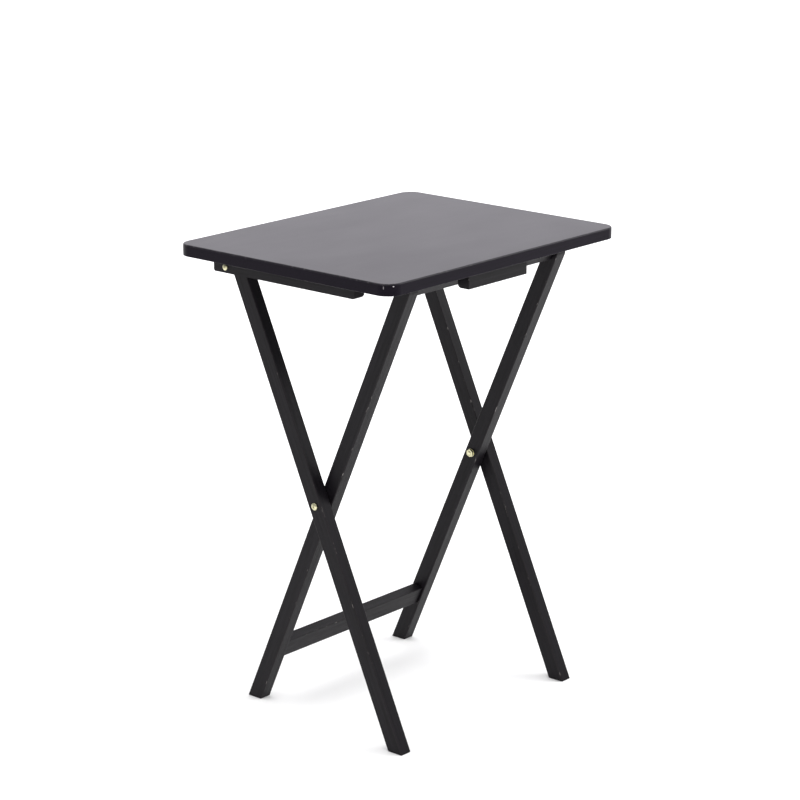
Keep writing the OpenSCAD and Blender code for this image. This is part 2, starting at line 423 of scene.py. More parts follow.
@dataclass(frozen=True)
class SprayedLacquer(Finish):
    """Satin lacquer sprayed in several coats over a stained veneer.

    The eye sees an even dark sheet that takes a broad soft reflection, with a trace of grain drawn along the
    long side, a very fine orange peel, deeper black flanks where the coat is thin, hair-thin bright rubs on
    the rounded upper edge, and two pale painted glints on the front left corner, which are painted
    highlights.
    """

    name: str = "satin_black_lacquer_on_veneer"
    slot: str = "lacquered_top"
    dark: str = "#0d0912"
    light: str = "#140e1a"
    rubbed: str = "#5d575a"
    # pale colour of the painted highlights (glints) painted at the front left corner
    chipped: str = "#ddd8dc"
    chips: tuple[Chip, ...] = (Chip(239.0, 3.3, 1.3, 0.7, 1.0), Chip(205.5, 5.0, 0.8, 2.4, 0.3))
    ior: float = 1.30
    flank_coat: float = 0.18
    grain_mm: float = 1.6
    cloud_mm: float = 70.0
    peel_mm: float = 1.4
    patch_mm: float = 5.0
    relief_mm: float = 0.02
    turn: tuple[float, float, float] = (0.0, math.pi / 2, 0.0)

    def paint(self, tree: Tree, shader: bpy.types.Node) -> None:
        """Even stain, faint grain, orange peel, rubbed edge and painted highlights at the corner."""
        coords = grain_space(tree, self.turn)
        grain = noise(tree, coords, self.grain_mm, stretch=40, detail=4)
        clouds = noise(tree, coords, self.cloud_mm, stretch=2)
        peel = noise(tree, coords, self.peel_mm)
        stain = blend(tree, remap(tree, grain, (0.35, 0.65), (0, 1)), linear(self.dark), linear(self.light))
        arris = add_node(tree, "ShaderNodeAttribute", attribute_name="arris").outputs["Fac"]
        patches = remap(tree, noise(tree, coords, self.patch_mm, stretch=5, detail=3), (0.60, 0.70), (0, 0.5))
        worn = combine(tree, "MULTIPLY", arris, patches)
        colour = blend(tree, worn, stain, linear(self.rubbed))
        # painted highlight: blends pale glint spots into the colour at the front left corner
        for glint in self.chips:
            colour = blend(tree, glint.mask(tree), colour, linear(self.chipped))
        fill(tree, shader, {"Base Color": colour})
        base = remap(tree, clouds, (0.3, 0.7), (0.32, 0.34))
        rough = combine(tree, "ADD", base, combine(tree, "MULTIPLY", grain, 0.04))
        fill(tree, shader, {"Roughness": rough})
        shader.inputs["IOR"].default_value = self.ior
        flank = add_node(tree, "ShaderNodeAttribute", attribute_name="flank").outputs["Fac"]
        coat = remap(tree, flank, (0, 1), (0.5, self.flank_coat))
        fill(tree, shader, {"Specular IOR Level": coat})
        height = combine(tree, "ADD", peel, combine(tree, "MULTIPLY", grain, 0.6))
        fill(tree, shader, {"Normal": relief(tree, height, self.relief_mm, 0.35)})


@dataclass(frozen=True)
class PlatedBrass(Finish):
    """Brass plate over turned steel, tumbled and left without lacquer.

    The eye sees a pale, slightly green gold with a soft mirror, fine tumbling scratches and an olive bloom.
    """

    name: str = "tumbled_brass_plate"
    slot: str = "brass"
    bright: str = "#dedab6"
    dull: str = "#7c7858"
    bloom_mm: float = 2.2
    scratch_mm: float = 0.35
    relief_mm: float = 0.01

    def paint(self, tree: Tree, shader: bpy.types.Node) -> None:
        """Gold that dulls in patches, with fine scratches."""
        coords = grain_space(tree, (0.0, 0.0, 0.0))
        bloom = noise(tree, coords, self.bloom_mm, detail=3)
        scratches = noise(tree, coords, self.scratch_mm, stretch=6)
        tarnish = remap(tree, bloom, (0.45, 0.75), (0, 0.7))
        colour = blend(tree, tarnish, linear(self.bright), linear(self.dull))
        fill(tree, shader, {"Base Color": colour})
        base = remap(tree, bloom, (0.4, 0.8), (0.20, 0.34))
        rough = combine(tree, "ADD", base, combine(tree, "MULTIPLY", scratches, 0.08))
        fill(tree, shader, {"Roughness": rough})
        shader.inputs["Metallic"].default_value = 1.0
        fill(tree, shader, {"Normal": relief(tree, scratches, self.relief_mm, 0.4)})


@dataclass(frozen=True)
class MouldedNylon(Finish):
    """Natural nylon 6, injection moulded.

    The eye sees milky off-white that lets a little light in, with a faint satin texture from the mould.
    """

    name: str = "moulded_natural_nylon"
    slot: str = "nylon"
    pale: str = "#e9e6dc"
    cream: str = "#dcd7c8"
    cloud_mm: float = 3.0
    texture_mm: float = 0.3

    def paint(self, tree: Tree, shader: bpy.types.Node) -> None:
        """Cloudy off-white with a fine mould texture."""
        coords = grain_space(tree, (0.0, 0.0, 0.0))
        clouds = noise(tree, coords, self.cloud_mm)
        texture = noise(tree, coords, self.texture_mm)
        fill(tree, shader, {"Base Color": blend(tree, clouds, linear(self.pale), linear(self.cream))})
        fill(tree, shader, {"Roughness": remap(tree, texture, (0.3, 0.7), (0.42, 0.52))})
        shader.inputs["IOR"].default_value = 1.53
        shader.inputs["Subsurface Weight"].default_value = 0.15
        shader.inputs["Subsurface Scale"].default_value = 1.5 * MM
        fill(tree, shader, {"Normal": relief(tree, texture, 0.01, 0.3)})


@dataclass(frozen=True)
class ZincPlatedSteel(Finish):
    """Cold-headed steel with bright zinc plate.

    The eye sees cool grey metal with a soft spangle and slightly matt flats.
    """

    name: str = "bright_zinc_plated_steel"
    slot: str = "steel_screw"
    bright: str = "#c9ccd2"
    dull: str = "#989ca4"
    spangle_mm: float = 0.8

    def paint(self, tree: Tree, shader: bpy.types.Node) -> None:
        """Spangled grey metal."""
        coords = grain_space(tree, (0.0, 0.0, 0.0))
        spangle = noise(tree, coords, self.spangle_mm, detail=3)
        fill(tree, shader, {"Base Color": blend(tree, spangle, linear(self.bright), linear(self.dull))})
        fill(tree, shader, {"Roughness": remap(tree, spangle, (0.3, 0.7), (0.28, 0.45))})
        shader.inputs["Metallic"].default_value = 1.0
        fill(tree, shader, {"Normal": relief(tree, spangle, 0.01, 0.3)})


@dataclass(frozen=True)
class RawBeech(Finish):
    """Beech dowel rod, turned and left raw.

    The eye sees pinkish tan wood with short darker flecks along the rod and a dry surface.
    """

    name: str = "turned_raw_beech"
    slot: str = "beech_dowel"
    pale: str = "#d3b08a"
    fleck: str = "#a87f57"
    fleck_mm: float = 0.6

    def paint(self, tree: Tree, shader: bpy.types.Node) -> None:
        """Flecked tan wood."""
        coords = grain_space(tree, (0.0, math.pi / 2, 0.0))
        flecks = noise(tree, coords, self.fleck_mm, stretch=8, detail=3)
        tree.links.new(
            blend(tree, remap(tree, flecks, (0.5, 0.7), (0, 1)), linear(self.pale), linear(self.fleck)),
            shader.inputs["Base Color"],
        )
        fill(tree, shader, {"Roughness": remap(tree, flecks, (0.3, 0.7), (0.60, 0.75))})
        fill(tree, shader, {"Normal": relief(tree, flecks, 0.03, 0.4)})


@dataclass(frozen=True)
class StudioPaint(Finish):
    """Matt white studio paint, rolled.

    The eye sees a plain pale floor without gloss.
    """

    name: str = "rolled_matt_white_paint"
    slot: str = ""
    pale: str = "#f7f7f7"
    shade: str = "#f4f4f4"
    roll_mm: float = 400.0

    def paint(self, tree: Tree, shader: bpy.types.Node) -> None:
        """Nearly even white."""
        coords = grain_space(tree, (0.0, 0.0, 0.0))
        rolled = noise(tree, coords, self.roll_mm)
        fill(tree, shader, {"Base Color": blend(tree, rolled, linear(self.pale), linear(self.shade))})
        fill(tree, shader, {"Roughness": remap(tree, rolled, (0, 1), (0.85, 0.95))})
        shader.inputs["Specular IOR Level"].default_value = 0.0


class Grain(Enum):
    """Direction of the grain of a frame piece."""

    LONG_SIDE = "stained_hardwood_grain_along_x"
    SHORT_SIDE = "stained_hardwood_grain_along_y"
    OUTER_LEG = "stained_hardwood_grain_along_outer_legs"
    INNER_LEG = "stained_hardwood_grain_along_inner_legs"

    def finish(self, layout: Layout) -> StainedHardwood:
        """The stained wood whose grain runs this way.

        Args:
            layout: gives the leans of the legs.

        Returns:
            The finish.
        """
        turns = {
            Grain.LONG_SIDE: (0.0, math.pi / 2, 0.0),
            Grain.SHORT_SIDE: (math.pi / 2, 0.0, 0.0),
            Grain.OUTER_LEG: (-layout.outer_turn, 0.0, 0.0),
            Grain.INNER_LEG: (-layout.inner_turn, 0.0, 0.0),
        }
        return StainedHardwood(self.value, turns[self])


# ---------------------------------------------------------------- mesh helpers


def link_object(name: str, mesh: bpy.types.Mesh) -> Piece:
    """Puts a mesh in the scene as an object at the origin."""
    made = bpy.data.objects.new(name, mesh)
    bpy.context.scene.collection.objects.link(made)
    return made


def from_bmesh(name: str, shape: bmesh.types.BMesh) -> Piece:
    """Turns a finished bmesh into an object, with its faces outward.

    Args:
        name: name of the object.
        shape: the shape, which is freed.

    Returns:
        The new object.
    """
    bmesh.ops.recalc_face_normals(shape, faces=shape.faces)
    mesh = bpy.data.meshes.new(name)
    shape.to_mesh(mesh)
    shape.free()
    return link_object(name, mesh)


def bake_modifiers(piece: Piece) -> None:
    """Turns the evaluated result into the piece's own plain mesh and removes the modifiers."""
    depsgraph = bpy.context.evaluated_depsgraph_get()
    evaluated = piece.evaluated_get(depsgraph)
    baked = bpy.data.meshes.new_from_object(evaluated, preserve_all_data_layers=True, depsgraph=depsgraph)
    old = piece.data
    piece.modifiers.clear()
    piece.data = baked
    bpy.data.meshes.remove(old)
    baked.name = piece.name


def arc(centre: Point2, radius: float, start: float, end: float, steps: int) -> list[Point2]:
    """Points on an arc.

    Args:
        centre: centre of the arc.
        radius: its radius.
        start: first angle in degrees.
        end: last angle in degrees.
        steps: number of chords.

    Returns:
        The points, both ends included.
    """
    angles = [math.radians(start + (end - start) * i / steps) for i in range(steps + 1)]
    return [(centre[0] + radius * math.cos(a), centre[1] + radius * math.sin(a)) for a in angles]


def loft(name: str, rings: Sequence[Sequence[Vector]], bored: bool = False) -> Piece:
    """Skins rings of points of equal length, each joined to the next with quads.

    Args:
        name: name of the object.
        rings: the points of each ring.
        bored: joins the last ring to the first instead of closing both ends with a face.

    Returns:
        The closed shape.
    """
    shape = bmesh.new()
    made = [[shape.verts.new(point) for point in ring] for ring in rings]
    if bored:
        made.append(made[0])
    else:
        shape.faces.new(reversed(made[0]))
        shape.faces.new(made[-1])
    for first, second in zip(made, made[1:]):
        for i in range(len(first)):
            j = (i + 1) % len(first)
            shape.faces.new((first[i], first[j], second[j], second[i]))
    return from_bmesh(name, shape)


def prism(name: str, outline: Sequence[Vector], start: Vector, end: Vector) -> Piece:
    """A bar of even section.

    Args:
        name: name of the object.
        outline: points round the section.
        start: moves the section to one end of the bar.
        end: moves the section to the other end.

    Returns:
        The closed bar.
    """
    return loft(name, [[point + place for point in outline] for place in (start, end)])


def along_x(start: float, end: float) -> tuple[Vector, Vector]:
    """The two ends of a bar that runs along X."""
    return Vector((start, 0, 0)), Vector((end, 0, 0))


@dataclass(frozen=True)
class Bore:
    """A round hole.

    Args:
        start: centre of the end that stands outside the piece.
        end: centre of the other end.
        radius: radius of the hole.
    """

    start: Vector
    end: Vector
    radius: float
    sides: int = 48

    def cutter(self) -> Piece:
        """The hole as a solid, to be taken away."""
        shape = bmesh.new()
        axis = self.end - self.start
        turn = axis.to_track_quat("Z", "Y").to_matrix().to_4x4()
        place = Matrix.Translation((self.start + self.end) / 2) @ turn
        bmesh.ops.create_cone(
            shape,
            cap_ends=True,
            segments=self.sides,
            radius1=self.radius,
            radius2=self.radius,
            depth=axis.length,
            matrix=place,
        )
        return from_bmesh("cutter", shape)


def bore_along_x(place: Vector, first_x: float, second_x: float, radius: float) -> Bore:
    """A hole along X through a point, between two values of X."""
    return Bore(Vector((first_x, place.y, place.z)), Vector((second_x, place.y, place.z)), radius)


def cut_away(
    piece: Piece, cutters: Sequence[Piece], operation: str = "DIFFERENCE"
) -> None:
    """Cuts a piece with tools and deletes them.

    Args:
        piece: the piece.
        cutters: the tools.
        operation: DIFFERENCE takes them away, INTERSECT keeps only what lies inside them.
    """
    for cutter in cutters:
        step = piece.modifiers.new("cut", "BOOLEAN")
        step.operation = operation
        step.solver = "EXACT"
        step.object = cutter
    bake_modifiers(piece)
    for cutter in cutters:
        mesh = cutter.data
        bpy.data.objects.remove(cutter)
        bpy.data.meshes.remove(mesh)


def smooth(piece: Piece, sharp_degrees: float = 50.0) -> None:
    """Shades a piece smooth, keeps its hard edges, and lets its large faces set the normals."""
    piece.data.shade_smooth()
    piece.data.set_sharp_from_angle(angle=math.radians(sharp_degrees))
    step = piece.modifiers.new("normals", "WEIGHTED_NORMAL")
    step.keep_sharp = True
    step.weight = 100
    bake_modifiers(piece)


def mark_faces(mesh: bpy.types.Mesh, name: str, chosen: Callable[[bpy.types.MeshPolygon], bool]) -> None:
    """Stores a mark on some faces, for the materials to read.

    Args:
        mesh: the mesh that takes the attribute.
        name: name of the attribute.
        chosen: says whether a face is marked.
    """
    layer = mesh.attributes.new(name, "FLOAT", "CORNER")
    for face in mesh.polygons:
        value = 1.0 if chosen(face) else 0.0
        for corner in face.loop_indices:
            layer.data[corner].value = value


def ease_arrises(
    piece: Piece, radius: float, bores: Sequence[Bore] = (), steps: int = 4
) -> None:
    """Rounds the long edges of a bar, drills it, and marks the rounded edges for wear.

    Args:
        piece: the bar.
        radius: size of the rounding.
        bores: holes drilled after the rounding.
        steps: facets across the rounding.
    """
    eased_slot = 1
    placeholder = bpy.data.materials.new("placeholder")
    for _ in range(2):
        piece.data.materials.append(placeholder)
    bevel = piece.modifiers.new("ease", "BEVEL")
    bevel.width = radius
    bevel.segments = steps
    bevel.limit_method = "ANGLE"
    bevel.angle_limit = math.radians(40)
    bevel.material = eased_slot
    bake_modifiers(piece)
    cut_away(piece, [bore.cutter() for bore in bores])
    mark_faces(piece.data, "arris", lambda face: face.material_index == eased_slot)
    for face in piece.data.polygons:
        face.material_index = 0
    piece.data.materials.clear()
    bpy.data.materials.remove(placeholder)
    smooth(piece)


def circle_ring(radius: float, height: float) -> RingShape:
    """Ring of a turned shape: the same radius and height all round."""
    return lambda angle: (radius, height)


def turned(
    name: str, rings: Sequence[RingShape], place: Matrix, steps: int = 64, bored: bool = False
) -> Piece:
    """A shape made of rings about its own Z axis.

    Args:
        name: name of the object.
        rings: radius and height of each ring at each angle.
        place: where the shape's own axes go.
        steps: points in a ring.
        bored: joins the last ring to the first instead of closing both ends with a face.

    Returns:
        The closed shape.
    """
    angles = [2 * math.pi * i / steps for i in range(steps)]
    made = []
    for ring in rings:
        polar = [ring(a) for a in angles]
        points = [Vector((r * math.cos(a), r * math.sin(a), h)) for a, (r, h) in zip(angles, polar)]
        made.append([place @ point for point in points])
    return loft(name, made, bored)


def hand_over(piece: Piece, finish: Finish, body: str, *nodes: str) -> None:
    """Gives a piece its finish, its body and the CAD nodes it stands for, and reports it.

    Args:
        piece: the finished piece.
        finish: its finish.
        body: the CAD body that it moves with.
        nodes: the CAD nodes that it replaces.
    """
    piece.data.materials.clear()
    piece.data.materials.append(finish.material())
    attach(piece, body)
    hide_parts(*nodes)
    log.info("%s: %d faces, %s, on %s", piece.name, len(piece.data.polygons), finish.name, body)


# ---------------------------------------------------------------- the top


@dataclass
class ScrewRow:
    """Wood screws standing up into the top, all at one height.

    Args:
        node: CAD node that holds them all.
        places: X and Y of each screw.
    """

    node: str
    places: Sequence[Point2]
    head_d: float = 7.5 * MM
    head_h: float = 2.6 * MM
    shank_d: float = 3.5 * MM
    point_h: float = 4.0 * MM
    play: float = 0.2 * MM
    end_play: float = 0.5 * MM
    recess_span: float = 3.9 * MM
    recess_width: float = 0.9 * MM
    recess_h: float = 1.7 * MM
    tip_r: float = 0.3 * MM
    seat_share: float = 0.6
    facets: int = 40
    seed: int = 7

    def bores(self, wood_low: float) -> list[Bore]:
        """Holes for the shanks, and wider ones for the heads, up from a piece's underside.

        Args:
            wood_low: height of the underside that the heads are sunk in.

        Returns:
            The holes of all screws.
        """
        low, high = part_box(self.node)
        made = []
        for x, y in self.places:
            foot = Vector((x, y, wood_low - 1 * MM))
            tip = Vector((x, y, high.z + self.end_play))
            seat = Vector((x, y, low.z + self.head_h * self.seat_share))
            made.append(Bore(foot, tip, (self.shank_d + self.play) / 2))
            made.append(Bore(foot, seat, (self.head_d + self.play) / 2))
        return made

    def tree(self, material: bpy.types.Material) -> Tree:
        """Geometry nodes that stand a screw on each point.

        Args:
            material: what the screws are made of.

        Returns:
            The node tree.
        """
        sizes = ["Length", "Head Radius", "Head Height", "Shank Radius", "Point Height"]
        sizes += ["Recess Span", "Recess Width", "Recess Height"]
        tree, given = open_tree("wood_screws", sizes, "Seed", "Screws")

        def lift(geometry: Socket, height: Socket | float) -> Socket:
            """Moves geometry up by a height."""
            up = add_node(tree, "ShaderNodeCombineXYZ", {"Z": height}).outputs[0]
            moved = add_node(tree, "GeometryNodeTransform", {"Geometry": geometry, "Translation": up})
            return moved.outputs[0]

        def cone(low_r: Socket, high_r: object, height: Socket) -> Socket:
            """A cone that stands on the origin."""
            sizes = {"Vertices": self.facets, "Radius Bottom": low_r, "Radius Top": high_r, "Depth": height}
            return add_node(tree, "GeometryNodeMeshCone", sizes).outputs["Mesh"]

        head = cone(given["Head Radius"], given["Shank Radius"], given["Head Height"])
        blade_size = add_node(
            tree,
            "ShaderNodeCombineXYZ",
            {"X": given["Recess Span"], "Y": given["Recess Width"], "Z": given["Recess Height"]},
        ).outputs[0]
        blade = add_node(tree, "GeometryNodeMeshCube", {"Size": blade_size}).outputs["Mesh"]
        crossed = add_node(
            tree, "GeometryNodeTransform", {"Geometry": blade, "Rotation": (0.0, 0.0, math.pi / 2)}
        ).outputs[0]
        recessed = add_node(tree, "GeometryNodeMeshBoolean", {"Mesh 1": head}, operation="DIFFERENCE")
        tree.links.new(blade, recessed.inputs["Mesh 2"])
        tree.links.new(crossed, recessed.inputs["Mesh 2"])
        ends_h = combine(tree, "ADD", given["Head Height"], given["Point Height"])
        shank_h = combine(tree, "SUBTRACT", given["Length"], ends_h)
        shank = add_node(
            tree,
            "GeometryNodeMeshCylinder",
            {"Vertices": self.facets, "Radius": given["Shank Radius"], "Depth": shank_h},
        ).outputs["Mesh"]
        shank_z = combine(tree, "ADD", given["Head Height"], combine(tree, "MULTIPLY", shank_h, 0.5))
        point = cone(given["Shank Radius"], self.tip_r, given["Point Height"])
        screw = add_node(tree, "GeometryNodeJoinGeometry")
        for part in (
            recessed.outputs["Mesh"],
            lift(shank, shank_z),
            lift(point, combine(tree, "SUBTRACT", given["Length"], given["Point Height"])),
        ):
            tree.links.new(part, screw.inputs[0])
        spin = add_node(
            tree,
            "FunctionNodeRandomValue",
            {"Min": (0.0, 0.0, 0.0), "Max": (0.0, 0.0, math.pi), "Seed": given["Seed"]},
            data_type="FLOAT_VECTOR",
        ).outputs[0]
        placing = {"Points": given["Points"], "Instance": screw.outputs[0], "Rotation": spin}
        close_tree(tree, placing, material)
        return tree

    def build(self, finish: Finish, body: str) -> None:
        """Stands the screws in place.

        Args:
            finish: their finish.
            body: the CAD body that they move with.
        """
        low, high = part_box(self.node)
        points = bpy.data.meshes.new(self.node)
        points.from_pydata([(x, y, low.z) for x, y in self.places], [], [])
        piece = link_object(f"{self.node}_countersunk", points)
        values = {
            "Length": high.z - low.z,
            "Head Radius": self.head_d / 2,
            "Head Height": self.head_h,
            "Shank Radius": self.shank_d / 2,
            "Point Height": self.point_h,
            "Recess Span": self.recess_span,
            "Recess Width": self.recess_width,
            "Recess Height": self.recess_h * 2,
            "Seed": self.seed,
        }
        run_tree(piece, self.tree(finish.material()), values)
        hand_over(piece, finish, body, self.node)


def open_tree(
    name: str, sizes: Sequence[str], whole: str, result: str
) -> tuple[Tree, bpy.types.NodeOutputs]:
    """Starts a geometry node tree that works on points.

    Args:
        name: name of the tree.
        sizes: names of its inputs that are lengths.
        whole: name of its input that is a whole number.
        result: name of its output.

    Returns:
        The tree, and the outputs of its input node.
    """
    tree = bpy.data.node_groups.new(name, "GeometryNodeTree")
    tree.interface.new_socket("Points", in_out="INPUT", socket_type="NodeSocketGeometry")
    for size in sizes:
        tree.interface.new_socket(size, in_out="INPUT", socket_type="NodeSocketFloat")
    tree.interface.new_socket(whole, in_out="INPUT", socket_type="NodeSocketInt")
    tree.interface.new_socket(result, in_out="OUTPUT", socket_type="NodeSocketGeometry")
    return tree, add_node(tree, "NodeGroupInput").outputs


def close_tree(tree: Tree, placing: NodeInputs, material: bpy.types.Material) -> None:
    """Ends a tree: an instance on each point, made real and given its material.

    Args:
        tree: the node tree.
        placing: inputs of the node that puts instances on points.
        material: what the instances are made of.
    """
    placed = add_node(tree, "GeometryNodeInstanceOnPoints", placing)
    real = add_node(tree, "GeometryNodeRealizeInstances", {"Geometry": placed.outputs[0]})
    dressed = add_node(tree, "GeometryNodeSetMaterial", {"Geometry": real.outputs[0], "Material": material})
    add_node(tree, "NodeGroupOutput", {0: dressed.outputs[0]})


def run_tree(piece: Piece, tree: Tree, values: dict[str, float]) -> None:
    """Runs a geometry node tree on a piece and keeps the result as its plain mesh.

    Args:
        piece: the object that carries the tree.
        tree: the node tree.
        values: a value for each named input.
    """
    step = piece.modifiers.new(tree.name, "NODES")
    step.node_group = tree
    sockets = {item.name: item.identifier for item in tree.interface.items_tree if item.in_out == "INPUT"}
    for name, value in values.items():
        step[sockets[name]] = value
    bake_modifiers(piece)


@dataclass
class TopBoard:
    """The rectangular top with round corners and a rounded upper edge."""

    body: str = "top"
    corner_r: float = CORNER_RADIUS
    edge_r: float = 2.0 * MM
    under_ease: float = 0.3 * MM
    corner_steps: int = 24
    edge_steps: int = 8

    def outline(self, half: Vector, inset: float) -> list[Point2]:
        """Rounded rectangle, set in from the edge.

        Args:
            half: half the length and depth of the top.
            inset: distance inward from the edge.

        Returns:
            The points, anticlockwise.
        """
        points = []
        for quarter, (sx, sy) in enumerate(QUARTERS):
            centre = (sx * (half.x - self.corner_r), sy * (half.y - self.corner_r))
            start = 90 * quarter
            points += arc(centre, self.corner_r - inset, start, start + 90, self.corner_steps)
        return points

    def build(self, finish: Finish, screws: Sequence[ScrewRow]) -> None:
        """Sweeps the edge section round the outline and drills the underside.

        Args:
            finish: finish of the board.
            screws: the wood screws that enter it from below.
        """
        low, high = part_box("tabletop")
        half = (high - low) / 2
        section = [(self.under_ease, low.z), (0.0, low.z + self.under_ease)]
        for inset, height in arc((self.edge_r, high.z - self.edge_r), self.edge_r, 180, 90, self.edge_steps):
            section.append((inset, height))
        rings = [[Vector((x, y, height)) for x, y in self.outline(half, inset)] for inset, height in section]
        piece = loft("tabletop_board", rings)
        bores = [bore for row in screws for bore in row.bores(low.z) if bore.end.z > low.z]
        cut_away(piece, [bore.cutter() for bore in bores])
        rounding = high.z - self.edge_r
        upright = 0.999
        mark_faces(piece.data, "arris", lambda face: face.center.z > rounding and face.normal.z < upright)
        mark_faces(piece.data, "flank", lambda face: abs(face.normal.z) < 1 - upright)
        smooth(piece)
        hand_over(piece, finish, self.body, "tabletop")


@dataclass
class Batten:
    """A bar screwed under one short side of the top, outside the legs, that carries a top pivot."""

    side: Side
    body: str = "top"
    end_r: float = 3 * MM
    inner_r: float = 5.5 * MM
    ease: float = 0.7 * MM
    pivot_bore_r: float = 2.55 * MM
    screw_y: Sequence[float] = (-80 * MM, 15 * MM, 108 * MM)

    @property
    def box(self) -> tuple[Vector, Vector]:
        """Lowest and highest corner of the bar."""
        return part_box(self.side.node("batten"))

    def screw_places(self) -> list[Point2]:
        """X and Y of the bar's screws."""
        low, high = self.box
        return [((low.x + high.x) / 2, y) for y in self.screw_y]

    def section(self) -> list[Vector]:
        """End view of the bar, whose lower edge beside the legs is round."""
        low, high = self.box
        r = self.inner_r
        outward = self.side.value
        inner_x, outer_x = (low.x, high.x) if self.side is Side.RIGHT else (high.x, low.x)
        xz = [(outer_x, low.z), (outer_x, high.z), (inner_x, high.z)]
        xz += [(inner_x + outward * (r + x), low.z + r + z) for x, z in arc((0, 0), r, 180, 270, 12)]
        return [Vector((x, 0, z)) for x, z in xz]

    def build(self, layout: Layout, screws: ScrewRow) -> None:
        """Shapes the bar, drills it for the pivot and the screws.

        Args:
            layout: gives the pivot's place and the grain.
            screws: the battens' screws.
        """
        low, high = self.box
        r = self.end_r
        yz = arc((high.y - r, low.z + r), r, -90, 0, 8) + [(high.y, high.z), (low.y, high.z)]
        yz += arc((low.y + r, low.z + r), r, 180, 270, 8)
        side_view = [Vector((0, y, z)) for y, z in yz]
        spare = 1 * MM
        piece = prism(self.side.node("batten_bar"), side_view, *along_x(low.x - spare, high.x + spare))
        core = prism("core", self.section(), Vector((0, low.y - spare, 0)), Vector((0, high.y + spare, 0)))
        cut_away(piece, [core], "INTERSECT")
        pivot = layout.pivot
        bores = [bore_along_x(pivot, low.x - spare, high.x + spare, self.pivot_bore_r)]
        bores += [b for b in screws.bores(low.z) if low.x < b.start.x < high.x]
        ease_arrises(piece, self.ease, bores)
        hand_over(piece, Grain.SHORT_SIDE.finish(layout), self.body, self.side.node("batten"))


@dataclass
class CatchBlock:
    """The block under the front edge that stops the upper rail."""

    body: str = "top"
    rear_r: float = 5.5 * MM
    ease: float = 0.9 * MM
    screw_x: float = 42 * MM

    def screw_places(self) -> list[Point2]:
        """X and Y of the block's two screws."""
        low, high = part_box("catch_block")
        return [(side.value * self.screw_x, (low.y + high.y) / 2) for side in Side]

    def build(self, layout: Layout, screws: ScrewRow) -> None:
        """Shapes the block with its rear lower edge rounded for the rail.

        Args:
            layout: gives the grain.
            screws: the block's screws.
        """
        low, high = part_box("catch_block")
        yz = [(low.y, low.z), *arc((high.y - self.rear_r, low.z + self.rear_r), self.rear_r, -90, 0, 12)]
        yz += [(high.y, high.z), (low.y, high.z)]
        piece = prism("catch_block_bar", [Vector((0, y, z)) for y, z in yz], *along_x(low.x, high.x))
        ease_arrises(piece, self.ease, screws.bores(low.z))
        hand_over(piece, Grain.LONG_SIDE.finish(layout), self.body, "catch_block")


# ---------------------------------------------------------------- the crossed legs


@dataclass
class Leg:
    """One leaning leg: an eased bar with a round upper end and a foot cut level."""

    side: Side
    stem: str
    body: str
    turn: float
    grain: Grain
    width: float
    ease: float = 1.2 * MM
    end_steps: int = 36

    @property
    def box(self) -> tuple[Vector, Vector]:
        """Lowest and highest corner of the leg."""
        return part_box(self.side.node(self.stem))

    def outline(self, layout: Layout) -> list[Vector]:
        """Side view of the leg in the plane of its cross.

        Args:
            layout: gives the cross bolts' place.

        Returns:
            Points round the outline.
        """
        high = self.box[1]
        half = self.width / 2
        end_along = (high.z - half - layout.cross.z) / math.cos(self.turn)
        points = arc((0.0, end_along), half, 0, 180, self.end_steps)
        for across in (-half, half):
            foot_along = -(layout.cross.z + across * math.sin(self.turn)) / math.cos(self.turn)
            points.append((across, foot_along))
        lean = Matrix.Rotation(self.turn, 3, "X")
        return [layout.cross + lean @ Vector((0, across, along)) for across, along in points]

    def build(self, layout: Layout, bores: Sequence[Bore]) -> None:
        """Shapes and drills the leg.

        Args:
            layout: gives the cross bolts' place and the grain.
            bores: its holes.
        """
        low, high = self.box
        name = self.side.node(f"{self.stem}_bar")
        piece = prism(name, self.outline(layout), *along_x(low.x, high.x))
        ease_arrises(piece, self.ease, bores)
        hand_over(piece, self.grain.finish(layout), self.body, self.side.node(self.stem))


